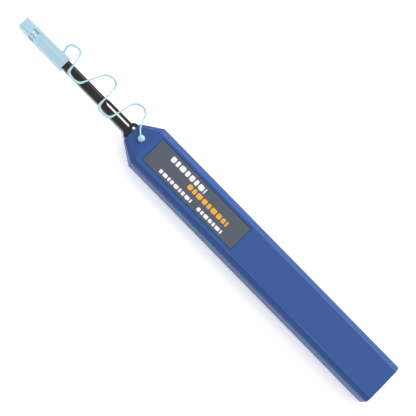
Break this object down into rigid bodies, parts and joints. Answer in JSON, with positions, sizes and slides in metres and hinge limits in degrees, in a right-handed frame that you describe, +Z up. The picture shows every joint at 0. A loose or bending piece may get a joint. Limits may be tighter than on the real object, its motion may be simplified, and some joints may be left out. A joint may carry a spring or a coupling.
{
  "type": "fibre connector cleaning pen",
  "caption": "Slim push-to-clean pen for fibre connectors: blue eight-sided grip, dark slotted nozzle, tethered guide cap over the tip, thread reels inside.",
  "frame": {"origin": "middle of the pen's length and width at the level its back rests on, the pen lying label up", "axes": "+X along the pen from the capped nozzle to the butt, +Y across the pen, +Z up out of the label"},
  "size_m": [0.232, 0.0231, 0.016],
  "materials": {
    "shell_blue": "gloss",
    "label_grey": "matt",
    "inner_white": "matt",
    "spring_steel": "satin",
    "pin_steel": "satin",
    "cap_clear_blue": "gloss",
    "tether_blue": "satin",
    "frame_black": "gloss",
    "inner_grey": "matt",
    "thread_white": "matt",
    "reel_white": "matt",
    "thread_used": "matt",
    "tip_white": "matt",
    "sleeve_white": "gloss"
  },
  "bodies": {
    "shell": {"upper_shell": "shell_blue", "lower_shell": "shell_blue", "label_plate": "label_grey", "drive_rack": "inner_white", "return_spring": "spring_steel", "spring_rod": "pin_steel", "tether_plug": "cap_clear_blue", "tether_strap": "tether_blue"},
    "carriage": {"nozzle_frame": "frame_black", "carriage_tray": "inner_grey", "carriage_lid": "inner_grey", "drive_axle": "pin_steel", "supply_axle": "pin_steel", "brake_leaf": "spring_steel", "stop_pawl": "inner_white", "cleaning_thread": "thread_white", "tip_spring": "spring_steel"},
    "gear": {"drive_gear": "inner_white"},
    "take_up": {"take_up_reel": "reel_white", "used_thread": "thread_used"},
    "supply": {"supply_reel": "reel_white", "fresh_thread": "thread_white"},
    "tip": {"cleaning_tip": "tip_white", "tip_shaft": "inner_white"},
    "cap": {"guide_cap": "cap_clear_blue", "ferrule_sleeve": "sleeve_white"}
  },
  "joints": [
    {"name": "push", "type": "slide", "parent": "shell", "child": "carriage", "axis": [1, 0, 0], "range_m": [0, 0.0115], "stiffness_N_per_m": 300, "springref_m": -0.01, "deforming": ["return_spring", "tether_strap"]},
    {"name": "gear_turn", "type": "hinge", "parent": "carriage", "child": "gear", "pos_m": [-0.003, 0, 0.0044], "axis": [0, 0, 1], "range_deg": [0, 95]},
    {"name": "take_up_turn", "type": "hinge", "parent": "carriage", "child": "take_up", "pos_m": [-0.003, 0, 0.0089], "axis": [0, 0, 1], "range_deg": [0, 95]},
    {"name": "supply_turn", "type": "hinge", "parent": "carriage", "child": "supply", "pos_m": [0.02, 0, 0.0078], "axis": [0, 0, 1], "range_deg": [0, 70]},
    {"name": "tip_press", "type": "slide", "parent": "carriage", "child": "tip", "axis": [1, 0, 0], "range_m": [0, 0.0015], "stiffness_N_per_m": 120, "springref_m": -0.002, "deforming": ["tip_spring"]},
    {"name": "cap_pull", "type": "slide", "parent": "carriage", "child": "cap", "axis": [-1, 0, 0], "range_m": [0, 0.03], "deforming": ["tether_strap"]}
  ],
  "couplings": [
    {"joint": "gear_turn", "follows": "push", "rad_per_m": 142.86},
    {"joint": "take_up_turn", "follows": "push", "rad_per_m": 142.86},
    {"joint": "supply_turn", "follows": "push", "rad_per_m": 102.68}
  ]
}
